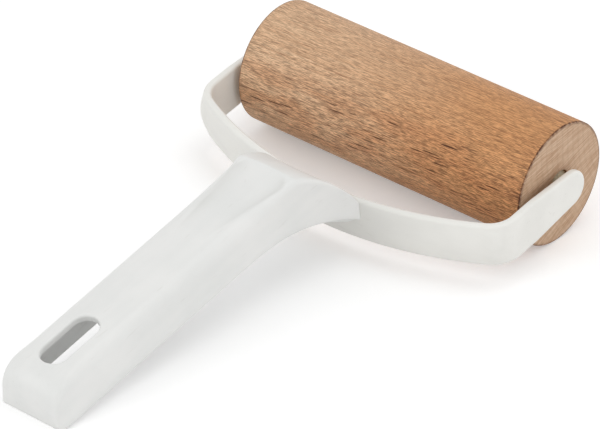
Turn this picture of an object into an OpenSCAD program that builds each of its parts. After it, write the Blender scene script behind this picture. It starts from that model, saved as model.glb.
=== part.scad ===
// Hand roller: a bored beech roller that turns on a steel axle,
// held by a moulded U-shaped yoke with a hollow moulded handle.
// Sizes in millimetres. The part rests on a level top at z = 0.

/* [Roller] */
// Diameter of the wooden roller
roller_d = 40; // [32:0.5:50]
// Length of the wooden roller
roller_l = 110; // [80:1:160]
// Rounding of the roller's end edges
roller_edge = 1; // [0.4:0.1:2.5]
// Diameter of the clear bore between the two bushes
roller_bore = 7; // [6.4:0.1:8]

/* [Axle and bushes] */
// Diameter of the steel axle
axle_d = 5; // [4:0.1:6]
// Outer diameter of a bush
bush_d = 9; // [8.4:0.1:10]
// Length of a bush inside the roller
bush_l = 14; // [8:0.5:24]
// How far a bush stands out of the roller's end
bush_proud = 0.6; // [0.4:0.1:0.8]
// Radial running clearance between bush and axle
run_clear = 0.06; // [0.02:0.01:0.1]
// Radial clearance of the fixed fits
fit_clear = 0.01; // [0.005:0.005:0.03]

/* [Yoke] */
// Gap between the roller's end and the inside of an arm
side_gap = 2.5; // [2.2:0.1:4]
// Thickness of the yoke's band
band_t = 2.6; // [2.2:0.1:3.6]
// Height of the band across the front and the corners
band_h = 15; // [12:0.5:20]
// Radius of the round arm tips
tip_r = 6; // [5.2:0.1:7]
// Distance behind the axle at which an arm reaches full height
arm_taper = 18; // [12:1:22]
// Distance from the axle to the outside of the band's middle
yoke_reach = 47.7; // [42:0.1:60]
// Radius of the bow across the band's middle
bow_r = 125; // [105:1:220]
// Outer radius of the band's corners
corner_r = 10; // [6:0.5:12]
// Angle between the yoke's plane and the handle's length
yoke_pitch = 2.2; // [0:0.1:5]
// Depth of the blind socket that takes an end of the axle
socket_depth = 2.5; // [1.8:0.1:2.6]

/* [Handle] */
// Distance from the axle to the handle's far end
handle_reach = 173.5; // [160:0.5:200]
// Height of the handle's lower edge above the axle's plane
handle_low = 16.1; // [12:0.1:20]
// Height of the handle's moulding
handle_h = 14.9; // [13:0.1:19]
// Width across the handle's lower edges
grip_w = 24.2; // [22:0.1:30]
// Width across the handle's top, before its edges are rounded
grip_top_w = 21.4; // [20:0.1:27]
// Wall thickness of the moulding
wall = 2.4; // [1.6:0.1:2.4]
// Rounding of the handle's upper edges
grip_edge = 4.5; // [3.4:0.1:5.5]
// Rise of the handle's top from its edges to its middle
crown = 1.2; // [0.4:0.1:2]
// Width across the shoulders where they meet the yoke
shoulder_w = 32.4; // [29:0.1:40]
// Distance from the yoke back to the front rim of the thumb rest
rim_set = 18.3; // [16:0.1:22]
// Radius of the rounded nose that falls from the rim to the yoke
nose_r = 46; // [38:1:120]
// Depth of the thumb rest
thumb_depth = 1.7; // [0.8:0.1:2.2]
// Width of the thumb rest
thumb_w = 16; // [12:0.5:17]

/* [Hanging slot] */
// Length of the hanging slot
slot_l = 21.5; // [14:0.5:26]
// Width of the hanging slot
slot_w = 9; // [6:0.1:10]
// Distance from the handle's end to the slot
slot_end = 8.8; // [8.6:0.1:20]

/* [Fixings] */
// Distance between the two yoke screws
screw_gap = 12; // [9:0.5:16]
// Height of the screws above the middle of the band
screw_up = 4.2; // [3.5:0.1:4.6]
// Thread diameter of a yoke screw
screw_d = 3; // [2.5:0.1:3.2]
// Length of a yoke screw over its sunk head
screw_l = 8; // [7:0.5:9]

/* [Hidden] */
$fn = 96;
roller_r = roller_d / 2;
arm_in = roller_l / 2 + side_gap;
arm_out = arm_in + band_t;
pad_h = side_gap - bush_proud - 0.9;
pad_r = bush_d / 2;
blend = 0.003;
axle_l = 2 * (arm_in - pad_h + socket_depth - 0.3);
bow_y = bow_r - yoke_reach;
fil_x = arm_out - corner_r;
fil_y = bow_y - sqrt(pow(bow_r - corner_r, 2) - fil_x * fil_x);
top_z = handle_low + handle_h;
tail_a = 8.5;
tail_b = 7.5;
tail_rd = 4.5;
tail_rw = 2.8;
front_d = yoke_reach;
rim_d = front_d + rim_set;
arch_d = front_d + 50.3;
arch_drop = 13.6;
flare_d = front_d + 37.3;
rib_t = 1.6;
rib_gap = (handle_reach - slot_end - slot_l - rim_d - 40) / 2;
rib_up = 3;
head_d = 5.6;
head_h = 1.3;
boss_d = 6.6;
boss_l = 5.8;

// The handle's end and the roller both touch the level top
rest_a = asin(roller_r / norm([handle_reach, handle_low])) + atan(handle_low / handle_reach);
tail_back = (handle_reach - tail_a) * cos(rest_a) + (top_z - tail_b) * sin(rest_a)
    + norm([tail_a * cos(rest_a), tail_b * sin(rest_a)]);
axle_y = (tail_back - roller_r) / 2;

// Small helpers
function clamp(t) = min(1, max(0, t));
function ease(t) = clamp(t) * clamp(t) * (3 - 2 * clamp(t));

// Handle shape as functions of the distance d behind the axle
function half_low(d) = grip_w / 2
    + (shoulder_w / 2 - grip_w / 2) * pow(clamp((flare_d - d) / (flare_d - front_d)), 2.6);
function half_top(d) = grip_top_w / 2
    + (shoulder_w / 2 - grip_top_w / 2) * pow(clamp((rim_d + 9 - d) / (rim_d + 9 - front_d)), 1.9);
function low_z(d) = handle_low - arch_drop * pow(clamp((arch_d - d) / (arch_d - front_d)), 2.7);
function edge_r(d) = 1.2 + 1 * ease((d - front_d) / 12) + (grip_edge - 2.2) * ease((d - rim_d) / 24);
function crown_z(d) = crown * ease((d - front_d - 6) / 16) + 2.2 * ease((d - handle_reach + 15) / 14);
function fold_w(d) = 2.6 + (thumb_w / 2 - 1.7) * pow(1 - clamp((d - rim_d - 6) / 55), 1.5)
    - 2 * (1 - ease((d - rim_d + 0.5) / 5));
function dish(d) = thumb_depth * ease((d - rim_d - 0.5) / 5)
    * (1 - 0.95 * ease((d - rim_d - 5) / 30)) * (1 - clamp((d - rim_d - 38) / 46));
function bowl(t) =
    let (s = pow(t / 1.03, 4))
    1 - s / pow(1 + pow(s, 3), 1 / 3);
function tail_in(d) = tail_rw
    * (1 - sqrt(1 - pow(clamp((d - handle_reach + tail_rd) / tail_rd), 2)));

// Side profile of the handle's top as [d, z, normal d, normal z]
rim_r = 3;
seam_z = yoke_reach * sin(yoke_pitch) + band_h / 2 * cos(yoke_pitch) + 1.2;
nose_l = norm([rim_d - front_d, top_z - seam_z]);
nose_a = atan((top_z - seam_z) / (rim_d - front_d));
nose_half = asin(nose_l / 2 / nose_r);
nose_d = (rim_d + front_d) / 2 + nose_r * cos(nose_half) * sin(nose_a);
nose_z = (top_z + seam_z) / 2 - nose_r * cos(nose_half) * cos(nose_a);
rim_a = nose_a - nose_half;
tan_len = rim_r * tan(rim_a / 2);
function nose_row(a) = [nose_d - nose_r * sin(a), nose_z + nose_r * cos(a), -sin(a), cos(a)];
function nose_at(d) = asin((nose_d - d) / nose_r);
front_rows = [for (i = [0:8])
    let (a0 = nose_at(front_d - 1.2), a1 = rim_a + tan_len / nose_r * 57.3 + 0.3)
    nose_row(a0 + (a1 - a0) * i / 8)];
rim_rows = [for (i = [0:4])
    let (a = rim_a * (1 - i / 4))
    [rim_d + tan_len - rim_r * sin(a), top_z - rim_r * (1 - cos(a)), -sin(a), cos(a)]];
flat_n = 24;
flat_rows = [for (i = [1:flat_n])
    let (d0 = rim_d + tan_len, d1 = handle_reach - tail_a)
    [d0 + (d1 - d0) * pow(i / flat_n, 1.5), top_z, 0, 1]];
tail_rows = [for (i = [1:9])
    let (a = i * 10, n = norm([sin(a) / tail_a, cos(a) / tail_b]))
    [handle_reach - tail_a + tail_a * sin(a), top_z - tail_b + tail_b * cos(a),
     sin(a) / tail_a / n, cos(a) / tail_b / n]];
rows = concat(front_rows, rim_rows, flat_rows, tail_rows);

// Half of one cross-section, from the lower edge up to the middle
function half_section(zt, zb, wt, wb, r, wf, dp, cr) =
    let (a0 = atan((wb - wt) / (zt - zb)),
         ze = zt - cr * pow((wt - r) / wt, 2),
         zc = ze - r,
         xc = wt + (zt - zc) * tan(a0) - r / cos(a0),
         a1 = 90 - atan(2 * cr * xc / (wt * wt)))
    concat(
        [for (t = [0, 0.5])
            [wb + (xc + r * cos(a0) - wb) * t, zb + (zc + r * sin(a0) - zb) * t]],
        [for (k = [0:5])
            let (a = a0 + (a1 - a0) * k / 5, x = xc + r * cos(a))
            [x, zc + r * sin(a) - dp * bowl(x / wf)]],
        [for (t = [0.93, 0.86, 0.79, 0.71, 0.62, 0.51, 0.3, 0])
            [xc * t, zt - cr * pow(xc * t / wt, 2) - dp * bowl(xc * t / wf)]]);
function section(h) = concat(h, [for (k = [len(h) - 2:-1:0]) [-h[k][0], h[k][1]]]);
function row_section(p, t) =
    let (d = p[0], cut = tail_in(d))
    section(half_section(p[1] - t * p[3], low_z(d), half_top(d) - cut - t, half_low(d) - cut - t,
        max(edge_r(d) - t, 0.8), fold_w(d), dish(d), crown_z(d)));
function bow_in(d, x) = x * x / 2 / bow_r * (1 - ease((d - front_d) / (rim_d - front_d)));
function row_points(p, t) = [for (q = row_section(p, t))
    [q[0], -(p[0] - t * p[2]) + bow_in(p[0], q[0]), q[1]]];

// Open-bottomed moulding with a front wall: an outer skin, an inner skin that starts
// at row k, and the lower faces that join them
module shell_skin() {
    outer = [for (p = rows) row_points(p, 0)];
    inner = [for (p = rows) row_points(p, wall)];
    k = 2;
    n = len(rows);
    m = len(outer[0]);
    base = n * m;
    end_z = low_z(handle_reach) + 3;
    pts = concat([for (r = outer) for (q = r) q], [for (r = inner) for (q = r) q],
        [[0, -handle_reach, end_z], [0, -handle_reach + wall, end_z],
         [0, outer[0][0][1], outer[0][0][2] + 1], [0, inner[k][0][1], inner[k][0][2] + 1]]);
    caps = 2 * n * m;
    skins = [for (i = [0:n - 2]) for (j = [0:m - 2])
        let (a = i * m + j, b = a + m)
        each [[a, b, b + 1], [a, b + 1, a + 1]]];
    hollow = [for (i = [k:n - 2]) for (j = [0:m - 2])
        let (a = base + i * m + j, b = a + m)
        each [[a, a + 1, b + 1], [a, b + 1, b]]];
    floors = [for (i = [0:k - 1])
        let (a = i * m, b = a + m, c = a + m - 1, d = b + m - 1)
        each [[a, c, d], [a, d, b]]];
    lips = [for (i = [k:n - 2])
        let (a = i * m, b = a + m, c = a + m - 1, d = b + m - 1)
        each [[a, base + a, base + b], [a, base + b, b],
              [c, d, base + d], [c, base + d, base + c]]];
    f0 = k * m;
    f1 = f0 + m - 1;
    e0 = (n - 1) * m;
    e1 = e0 + m - 1;
    ends = concat(
        [[e0, base + e0, base + e1], [e0, base + e1, e1], [caps, e0, e1],
         [caps + 1, base + e1, base + e0], [caps + 2, m - 1, 0],
         [f0, f1, base + f1], [f0, base + f1, base + f0], [caps + 3, base + f0, base + f1]],
        [for (j = [0:m - 2])
            each [[caps, e0 + j + 1, e0 + j], [caps + 1, base + e0 + j, base + e0 + j + 1],
                  [caps + 2, j, j + 1], [caps + 3, base + f0 + j + 1, base + f0 + j]]]);
    used = concat([for (i = [0:n * m - 1]) i], [for (i = [base + f0:caps + 3]) i]);
    polyhedron([for (i = used) pts[i]],
        [for (f = concat(skins, hollow, floors, lips, ends))
            [for (i = f) i < base ? i : i - f0]], convexity = 8);
}

// A plate across the inside of the moulding, let into its walls
module cross_rib(d, t, up) {
    q = row_section([d, top_z, 0, 1], wall * 0.6);
    translate([0, -d, 0])
        rotate([90, 0, 0])
            linear_extrude(height = t, center = true)
                intersection() {
                    polygon(q);
                    translate([-50, low_z(d) + up])
                        square([100, 60]);
                }
}

// Stadium outline along the handle
module slot_plan() {
    y0 = -handle_reach + slot_end + slot_w / 2;
    y1 = y0 + slot_l - slot_w;
    translate([-slot_w / 2, y0])
        square([slot_w, slot_l - slot_w]);
    for (y = [y0, y1])
        translate([0, y])
            circle(d = slot_w);
}

// Plan of the yoke's outer face, drawn in by t
module yoke_plan(t) {
    k = (bow_r - t) / (bow_r - corner_r);
    tx = fil_x * k;
    ty = bow_y + (fil_y - bow_y) * k;
    difference() {
        intersection() {
            translate([0, bow_y])
                circle(r = bow_r - t, $fn = 256);
            translate([-arm_out + t, -90])
                square([2 * (arm_out - t), 120]);
        }
        for (s = [-1, 1])
            polygon([[s * fil_x, fil_y], [s * (arm_out + 5), fil_y],
                [s * (arm_out + 5), fil_y - 40], [s * (tx + (tx - fil_x) * 3), ty + (ty - fil_y) * 3],
                [s * tx, ty]]);
    }
    for (s = [-1, 1])
        translate([s * fil_x, fil_y])
            circle(r = corner_r - t + blend);
}

// Side outline of the yoke: round tips that widen to the full band
module yoke_side() {
    h = band_h / 2;
    a = 180 - atan(h / arm_taper) - acos(tip_r / norm([arm_taper, h]));
    tx = (tip_r - blend) * cos(a);
    ty = (tip_r - blend) * sin(a);
    circle(r = tip_r);
    polygon([[tx, ty], [-arm_taper, h], [-90, h], [-90, -h], [-arm_taper, -h], [tx, -ty], [0, 0]]);
}

// From the yoke's own plane to the handle's
module in_yoke() {
    rotate([-yoke_pitch, 0, 0])
        children();
}

// From the handle's plane to the object as it rests
module at_rest() {
    translate([0, axle_y, roller_r])
        rotate([rest_a, 0, 0])
            children();
}

// The two screw places on the band's middle, looking back along the handle
module screw_places() {
    for (s = [-1, 1])
        translate([s * screw_gap / 2, -yoke_reach + band_t, screw_up])
            rotate([90, 0, 0])
                children();
}

module roller() {
    color("burlywood")
        translate([0, axle_y, roller_r])
            rotate([0, 90, 0])
                rotate_extrude()
                    difference() {
                        union() {
                            translate([0, -roller_l / 2])
                                square([roller_r - roller_edge, roller_l]);
                            translate([0, -roller_l / 2 + roller_edge])
                                square([roller_r, roller_l - 2 * roller_edge]);
                            for (s = [-1, 1])
                                translate([roller_r - roller_edge, s * (roller_l / 2 - roller_edge)])
                                    circle(r = roller_edge, $fn = 32);
                        }
                        translate([-roller_r, -roller_l])
                            square([roller_r + roller_bore / 2, 2 * roller_l]);
                        for (s = [-1, 1])
                            translate([0, s * (roller_l / 2) - bush_l])
                                square([bush_d / 2 + fit_clear, 2 * bush_l]);
                    }
}

module bush(s) {
    c = 0.4;
    r0 = axle_d / 2 + run_clear;
    r1 = bush_d / 2;
    translate([0, axle_y, roller_r])
        rotate([0, s * 90, 0])
            translate([0, 0, roller_l / 2 - bush_l])
                rotate_extrude()
                    polygon([[r0, 0], [r1 - c, 0], [r1, c], [r1, bush_l + bush_proud - c],
                        [r1 - c, bush_l + bush_proud], [r0 + c, bush_l + bush_proud],
                        [r0, bush_l + bush_proud - c]]);
}

module left_bush() {
    color("ivory")
        bush(-1);
}

module right_bush() {
    color("ivory")
        bush(1);
}

module axle() {
    c = 0.5;
    r = axle_d / 2;
    h = axle_l / 2;
    color("silver")
        translate([0, axle_y, roller_r])
            rotate([0, 90, 0])
                rotate_extrude()
                    polygon([[0, -h], [r - c, -h], [r, -h + c], [r, h - c], [r - c, h], [0, h]]);
}

module yoke() {
    color("whitesmoke")
        at_rest()
            in_yoke()
                difference() {
                    union() {
                        intersection() {
                            translate([0, 0, -band_h])
                                linear_extrude(height = 2 * band_h)
                                    difference() {
                                        yoke_plan(0);
                                        yoke_plan(band_t);
                                    }
                            rotate([90, 0, 90])
                                linear_extrude(height = 200, center = true)
                                    yoke_side();
                        }
                        for (s = [-1, 1])
                            rotate([0, s * 90, 0])
                                translate([0, 0, arm_in - pad_h])
                                    cylinder(r = pad_r, h = pad_h + band_t / 2);
                    }
                    for (s = [-1, 1])
                        rotate([0, s * 90, 0])
                            translate([0, 0, arm_in - pad_h - 1])
                                cylinder(r = axle_d / 2 + fit_clear, h = 1 + socket_depth);
                    screw_places() {
                        translate([0, 0, -5])
                            cylinder(d = screw_d + 0.4, h = 5 + 3 * band_t);
                        translate([0, 0, -0.5])
                            cylinder(d = head_d + 0.2, h = 0.8);
                        translate([0, 0, 0.29])
                            cylinder(d1 = head_d + 0.2, d2 = screw_d + 0.2, h = head_h + 0.01);
                    }
                }
}

module handle() {
    color("white")
        at_rest()
            difference() {
                union() {
                    shell_skin();
                    for (i = [0:2])
                        cross_rib(rim_d + 18 + i * rib_gap, rib_t, rib_up);
                    in_yoke()
                        screw_places()
                            cylinder(d = boss_d, h = band_t + boss_l);
                }
                translate([0, 0, top_z - 20])
                    linear_extrude(height = 40)
                        slot_plan();
                in_yoke()
                    translate([0, bow_y, -60])
                        cylinder(r = bow_r + fit_clear, h = 140, $fn = 256);
                in_yoke()
                    screw_places()
                        cylinder(d = screw_d + 2 * fit_clear, h = screw_l + 1);
            }
}

module yoke_screws() {
    r = screw_d / 2;
    color("silver")
        at_rest()
            in_yoke()
                screw_places()
                    difference() {
                        rotate_extrude()
                            polygon([[0, 0], [head_d / 2, 0], [head_d / 2, 0.25], [r, 0.25 + head_h],
                                [r, screw_l - 2], [0.4, screw_l], [0, screw_l]]);
                        for (a = [0, 90])
                            rotate([0, 0, a])
                                translate([-1.5, -0.4, -1])
                                    cube([3, 0.8, 2]);
                    }
}

roller();
left_bush();
right_bush();
axle();
yoke();
handle();
yoke_screws();
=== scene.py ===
# %% [markdown]
# # A wooden hand roller
#
# The object is a small hand roller: a turned beech roller that spins on a steel rod, held by a white
# moulded yoke, with a white moulded handle behind it. The measured model comes in first as a fixed
# frame. Every piece made here sits where that frame says, in metres, so nothing has to be fitted by eye.

import math

import bmesh
import bpy
import numpy as np
from mathutils import Matrix, Vector


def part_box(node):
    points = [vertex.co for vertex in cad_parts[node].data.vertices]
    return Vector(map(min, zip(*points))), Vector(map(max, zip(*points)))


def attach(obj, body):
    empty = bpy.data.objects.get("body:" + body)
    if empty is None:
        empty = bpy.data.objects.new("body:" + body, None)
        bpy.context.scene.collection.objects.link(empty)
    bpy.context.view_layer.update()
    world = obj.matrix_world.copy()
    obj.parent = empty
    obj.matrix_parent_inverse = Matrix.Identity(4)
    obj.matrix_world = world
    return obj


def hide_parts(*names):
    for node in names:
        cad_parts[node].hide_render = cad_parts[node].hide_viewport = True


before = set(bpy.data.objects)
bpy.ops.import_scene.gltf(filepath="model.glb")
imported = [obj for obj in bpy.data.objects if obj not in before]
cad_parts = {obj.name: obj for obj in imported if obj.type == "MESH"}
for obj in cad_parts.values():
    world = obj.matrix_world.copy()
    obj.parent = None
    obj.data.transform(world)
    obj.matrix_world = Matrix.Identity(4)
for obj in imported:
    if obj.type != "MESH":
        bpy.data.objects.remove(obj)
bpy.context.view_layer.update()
MM = 0.001

# %% [markdown]
# ## Where things are
#
# The roller's middle is the natural origin for every size of the tool. The tool rests on the roller and
# on the end of its handle, so the handle's own plane leans back by a fixed angle, and the yoke is pitched
# a little in that plane. A small function takes points in millimetres, in the leaning plane, to the
# frame's metres.

# %% The axle's middle and the lean of the handle
roller_low, roller_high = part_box("roller")
axle = (Vector(roller_low) + Vector(roller_high)) / 2
ROLLER_HALF = round((roller_high[0] - roller_low[0]) / 2 / MM, 2)
ROLLER_R = round((roller_high[2] - roller_low[2]) / 2 / MM, 2)
LEAN = math.radians(11.8926)
YOKE_PITCH = math.radians(2.2)


def turned(points, angle):
    """Points turned about the X axis."""
    points = np.asarray(points, float)
    c = math.cos(angle)
    s = math.sin(angle)
    return points @ np.array([[1, 0, 0], [0, c, s], [0, -s, c]])


def at_rest(points):
    """Handle-plane millimetres to metres in the frame."""
    return turned(points, LEAN) * MM + np.array(axle)


print("axle at", [round(v / MM, 2) for v in axle], "roller", 2 * ROLLER_HALF, "by", 2 * ROLLER_R, "mm")

# %% [markdown]
# ## The camera
#
# A product picture is taken from a distance with a long lens, so its parallel edges stay nearly parallel.
# The direction, distance and focal length here were solved from the outline of the roller and the yoke, in
# a plane that leans a little against the floor.

# %% Camera
PICTURE_WIDTH = 600
SENSOR_WIDTH = 36
FOCAL_PIXELS = 4653.384
TURN = math.radians(40.187)
RISE = math.radians(33.539)
FIT_LEAN = math.radians(1.4926)
ACROSS = -35.766
UP = -28.725
AWAY = 1423.972


def new_object(name, data):
    """An object in the scene."""
    thing = bpy.data.objects.new(name, data)
    bpy.context.scene.collection.objects.link(thing)
    return thing


right = Vector((math.cos(TURN), math.sin(TURN), 0))
upward = Vector((-math.sin(TURN) * math.sin(RISE), math.cos(TURN) * math.sin(RISE), math.cos(RISE)))
toward = right.cross(upward)
lean_back = Matrix.Rotation(FIT_LEAN, 3, "X")
seat = lean_back @ (right * ACROSS + upward * UP + toward * AWAY) * MM
camera = new_object("camera", bpy.data.cameras.new("camera"))
camera.data.sensor_width = SENSOR_WIDTH
camera.data.lens = FOCAL_PIXELS * SENSOR_WIDTH / PICTURE_WIDTH
axes = [lean_back @ right, lean_back @ upward, lean_back @ toward]
camera.matrix_world = Matrix.Translation(axle + seat) @ Matrix(axes).transposed().to_4x4()
bpy.context.scene.camera = camera
print("camera lens", round(camera.data.lens, 1), "mm at", [round(v, 3) for v in camera.location])

# %% [markdown]
# ## Shader sums
#
# A material is a graph of nodes, but most of it is arithmetic. One small class wraps an output socket, so
# that a sum written in Python adds the Math nodes, and one method adds any other node. Settings such as
# an operation go in before the sockets, because they decide which sockets a node has.

# %% The class for sockets


def find(sockets, key):
    """A socket by its place, its identifier or its name."""
    if isinstance(key, int):
        return sockets[key]
    exact = [socket for socket in sockets if socket.identifier == key]
    return (exact + [socket for socket in sockets if socket.name == key])[0]


class Wire:
    """An output socket that can be used in a sum."""

    def __init__(self, socket):
        self.socket = socket
        self.tree = socket.id_data

    def make(self, kind, settings=None, sockets=None, out=0):
        """A new node: its type, its settings, what its sockets get, and the output to use."""
        node = self.tree.nodes.new(kind)
        for key, value in (settings or {}).items():
            setattr(node, key, value)
        for key, value in (sockets or {}).items():
            target = find(node.inputs, key)
            if isinstance(value, Wire):
                self.tree.links.new(value.socket, target)
            elif isinstance(value, list) and isinstance(value[0], Wire):
                for wire in value:
                    self.tree.links.new(wire.socket, target)
            else:
                target.default_value = value
        return Wire(find(node.outputs, out)) if len(node.outputs) else None

    def also(self, key):
        return Wire(find(self.socket.node.outputs, key))

    def sum(self, operation, first, second):
        return self.make("ShaderNodeMath", {"operation": operation}, {0: first, 1: second})

    def __add__(self, other):
        return self.sum("ADD", self, other)

    __radd__ = __add__

    def __sub__(self, other):
        return self.sum("SUBTRACT", self, other)

    def __rsub__(self, other):
        return self.sum("SUBTRACT", other, self)

    def __mul__(self, other):
        return self.sum("MULTIPLY", self, other)

    __rmul__ = __mul__

    def __truediv__(self, other):
        return self.sum("DIVIDE", self, other)

    def __rtruediv__(self, other):
        return self.sum("DIVIDE", other, self)

    def __pow__(self, other):
        return self.sum("POWER", self, other)

    def __abs__(self):
        return self.sum("ABSOLUTE", self, 0.0)


def tint(red, green, blue):
    """A colour as seen on a screen, 0 to 255, as the shader's linear colour."""
    parts = [v / 255 for v in (red, green, blue)]
    return [v / 12.92 if v <= 0.04045 else ((v + 0.055) / 1.055) ** 2.4 for v in parts] + [1.0]


print("mid grey in linear light", [round(v, 3) for v in tint(128, 128, 128)])

# %% Helpers that every finish uses


def new_finish(name):
    """A material and the wire of its object coordinates."""
    finish = bpy.data.materials.new(name)
    finish.use_nodes = True
    finish.node_tree.nodes.clear()
    return finish, Wire(finish.node_tree.nodes.new("ShaderNodeTexCoord").outputs["Object"])


def in_mm(spot, middle=(0, 0, 0), angles=(0, 0, 0)):
    """The coordinates in millimetres from a middle, in a turned frame."""
    return spot.make("ShaderNodeMapping", {"vector_type": "TEXTURE"},
                     {"Vector": spot, "Location": middle, "Rotation": angles, "Scale": (MM, MM, MM)})


def triple(x, y, z):
    wire = next(v for v in (x, y, z) if isinstance(v, Wire))
    return wire.make("ShaderNodeCombineXYZ", {}, {0: x, 1: y, 2: z})


def parts_of(place):
    """The X, Y and Z of a place."""
    x = place.make("ShaderNodeSeparateXYZ", {}, {"Vector": place})
    return x, x.also("Y"), x.also("Z")


def stretched(place, sizes):
    """A place in units of a size in X, Y and Z, for clouds of that size."""
    return triple(*[part / size for part, size in zip(parts_of(place), sizes)])


def noise(place, size=1.0, detail=2.0, rough=0.5):
    """Soft cloud from 0 to 1; size is the width of a cloud in the place's own unit."""
    return place.make("ShaderNodeTexNoise", {},
                      {"Vector": place, "Scale": 1 / size, "Detail": detail, "Roughness": rough})


def ramp(value, low, high, start=0.0, end=1.0):
    """A smooth step from start to end while the value goes from low to high."""
    return value.make("ShaderNodeMapRange", {"interpolation_type": "SMOOTHSTEP"},
                      {"Value": value, "From Min": low, "From Max": high, "To Min": start, "To Max": end})


def mix(factor, first, second):
    return factor.make("ShaderNodeMix", {"data_type": "RGBA"},
                       {"Factor_Float": factor, "A_Color": first, "B_Color": second}, "Result_Color")


def bump(height, depth, strength):
    return height.make("ShaderNodeBump", {}, {"Height": height, "Distance": depth, "Strength": strength})


def paint(spot, **sockets):
    """The surface shader; underscores in the names stand for spaces."""
    named = {key.replace("_", " "): value for key, value in sockets.items()}
    shader = spot.make("ShaderNodeBsdfPrincipled", {}, named)
    spot.make("ShaderNodeOutputMaterial", {}, {"Surface": shader})


print("finish helpers ready")

# %% [markdown]
# ## Light, floor and background
#
# The picture is a cut-out on white under very soft light. Four large round lamps, above, right, left and in
# front of the roller, give the shapes a little modelling, and the white surroundings fill the rest. The
# floor is a pale sheet that keeps the object's shadow. To the camera and in reflections the surroundings
# are plain white, and the floor is a little lighter.

# %% Lamps and surroundings
WHITE = (1, 1, 1, 1)


def lamp(name, place, size, watts):
    light = bpy.data.lights.new(name, "AREA")
    light.shape = "DISK"
    light.size = size
    light.energy = watts
    holder = new_object(name, light)
    holder.location = place
    holder.rotation_euler = (-Vector(place)).to_track_quat("-Z", "Y").to_euler()


def plainly_seen(tree):
    """1 for rays from the camera, straight, mirrored or through glass, and 0 for light."""
    path = Wire(tree.nodes.new("ShaderNodeLightPath").outputs["Is Camera Ray"])
    shown = path.sum("MAXIMUM", path, path.also("Is Glossy Ray"))
    return shown.sum("MAXIMUM", shown, path.also("Is Transmission Ray"))


lamp("key_lamp", (0.15, 0.3, 1.15), 0.8, 1.6)
lamp("right_lamp", (1.15, -0.3, 0.4), 0.9, 2.3)
lamp("left_lamp", (-0.6, -1.05, 0.55), 0.9, 3.3)
lamp("front_lamp", (0.3, 1.0, 0.55), 0.9, 1.1)
world = bpy.data.worlds.new("surroundings")
world.use_nodes = True
world.node_tree.nodes.clear()
shown = plainly_seen(world.node_tree)
dim = shown.make("ShaderNodeBackground", {}, {"Color": WHITE, "Strength": 0.7})
plain = shown.make("ShaderNodeBackground", {}, {"Color": WHITE, "Strength": 1.0})
sky = shown.make("ShaderNodeMixShader", {}, {0: shown, 1: dim, 2: plain})
sky.make("ShaderNodeOutputWorld", {}, {"Surface": sky})
bpy.context.scene.world = world
bpy.context.scene.view_settings.view_transform = "Standard"

# %% Floor


def plain_piece(name, points, faces, finish):
    """A piece from points in metres and faces."""
    mesh = bpy.data.meshes.new(name)
    mesh.from_pydata([tuple(p) for p in points], [], faces)
    mesh.materials.append(finish)
    return new_object(name, mesh)


floor_finish, spot = new_finish("floor")
speck = noise(in_mm(spot), 3.0)
pale_grey = mix(speck, tint(238, 238, 238), tint(241, 241, 241))
sheet = spot.make("ShaderNodeBsdfDiffuse", {}, {"Color": pale_grey})
glow = spot.make("ShaderNodeEmission", {}, {"Color": WHITE, "Strength": 0.27})
both = spot.make("ShaderNodeAddShader", {}, {0: sheet, 1: glow})
lit = spot.make("ShaderNodeMixShader", {}, {0: plainly_seen(spot.tree), 1: sheet, 2: both})
spot.make("ShaderNodeOutputMaterial", {}, {"Surface": lit})
floor_corners = [(-3, -3, 0), (3, -3, 0), (3, 3, 0), (-3, 3, 0)]
floor = plain_piece("floor", floor_corners, [(0, 1, 2, 3)], floor_finish)
print("floor", floor.dimensions[:2])

# %% [markdown]
# ## Beech
#
# Beech is pale tan with short dark dashes. The dashes are rays: thin upright sheets that run out from the
# middle of the trunk. Cut across, a sheet shows as a dash along the grain; cut on the end of the roller it
# shows as a fine line. So the pattern is made in space, from the distance to a trunk middle outside the
# roller, and the turned surface cuts it the way a lathe does.

# %% Directions in the wood
TRUNK_Y = 85.0
TRUNK_Z = 28.0
ARC_R = 90.0
FLAT_Y = 0.0475  # the way to the trunk's middle, over the roller's radius
FLAT_Z = 0.0156
beech, spot = new_finish("beech")
wood = in_mm(spot, tuple(axle), (0, math.radians(-0.9), math.radians(1.4)))
along, side, height = parts_of(wood)


def grain(length, width, detail=2.0, rough=0.5):
    """A cloud drawn out along the grain; its length and width are in millimetres."""
    return noise(triple(along / length, side / width, height / width), 1.0, detail, rough)


bend = grain(38.0, 22.0, 1.0) - 0.5
from_y = side - TRUNK_Y + bend * 2.2
from_z = height - TRUNK_Z + bend * 1.4
ring = (from_y * from_y + from_z * from_z) ** 0.5
sweep = from_z.sum("ARCTAN2", from_z, from_y) * ARC_R
drift = 0.022 + along * 0.0024
facing = abs(side - height * drift) / ROLLER_R
flat_cut = abs(side * FLAT_Y + height * FLAT_Z)
lathe_x, lathe_y, lathe_z = parts_of(in_mm(spot, tuple(axle)))
from_end = ROLLER_HALF - abs(lathe_x)
radius = (lathe_y * lathe_y + lathe_z * lathe_z) ** 0.5
print("trunk middle", round(math.hypot(TRUNK_Y, TRUNK_Z), 1), "mm from the axle")

# %% Rays, fibres and growth rings
RING_GAP = 2.4
GOLDEN = 0.618


def rays(length, depth, width, share, shift):
    """Flecks of one size; share is the part of them that shows."""
    row = sweep / width
    place = triple(along / length + row * GOLDEN + shift, ring / depth, row)
    cell = place.make("ShaderNodeTexVoronoi", {"feature": "F1"}, {"Vector": place, "Scale": 1.0},
                      "Distance")
    pick = cell.make("ShaderNodeSeparateColor", {}, {"Color": cell.also("Color")})
    return ramp(cell, 0.25, 0.33, 1.0, 0.0) * ramp(pick, share, share + 0.1, 1.0, 0.0)


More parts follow.
